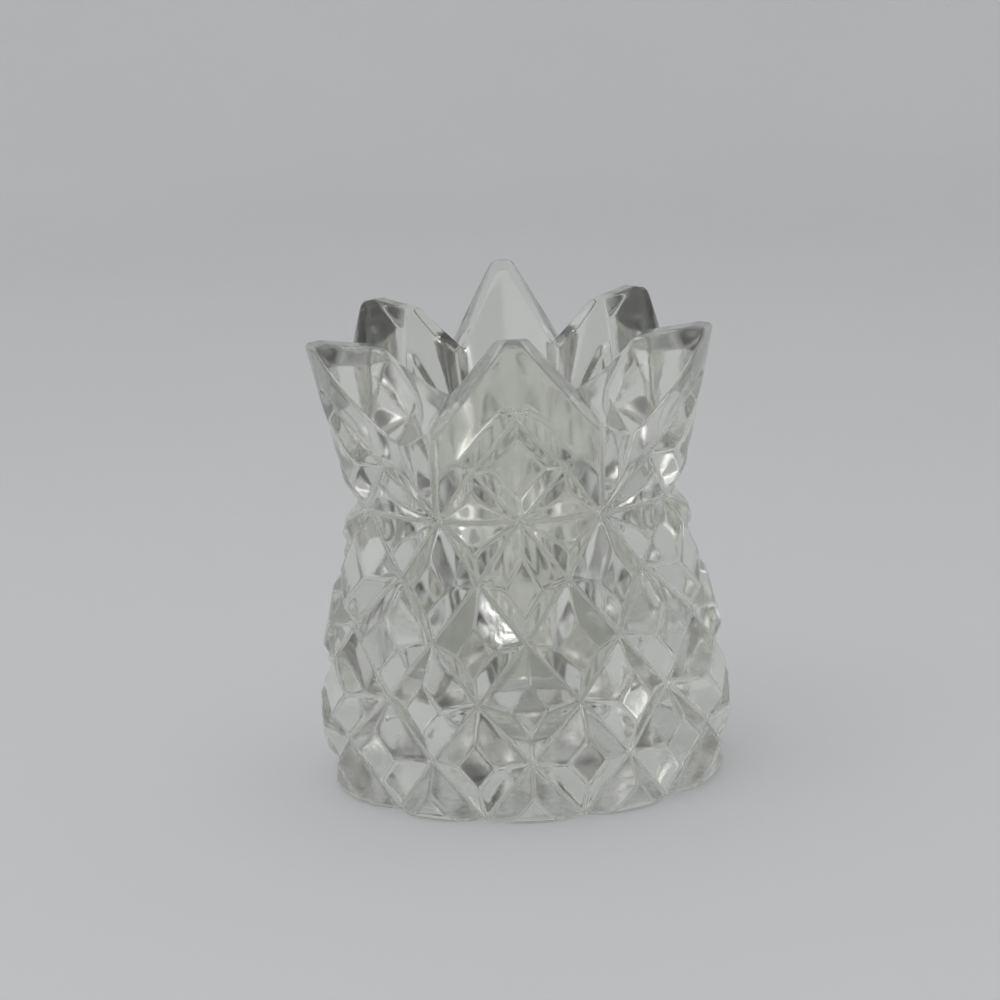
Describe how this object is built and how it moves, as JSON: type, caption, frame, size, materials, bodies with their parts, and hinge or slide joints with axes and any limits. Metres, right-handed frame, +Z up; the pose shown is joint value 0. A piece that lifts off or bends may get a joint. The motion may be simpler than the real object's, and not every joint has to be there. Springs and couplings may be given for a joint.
{
  "type": "toothpick holder",
  "caption": "Free-standing toothpick holder of thick clear cut glass: pineapple-shaped, with a diamond-cut barrel body, a grooved waist and a flared crown of pointed leaves round a well.",
  "frame": {"origin": "middle of the foot, on the surface that the holder stands on", "axes": "+Z up along the axis of the holder; the middle of the front leaf faces -Y"},
  "size_m": [0.0556, 0.0562, 0.0664],
  "materials": {
    "clear_glass": "clear colourless crystal, cut and polished to soft bright edges"
  },
  "bodies": {
    "root": {"glass_body": "clear_glass"}
  },
  "joints": []
}
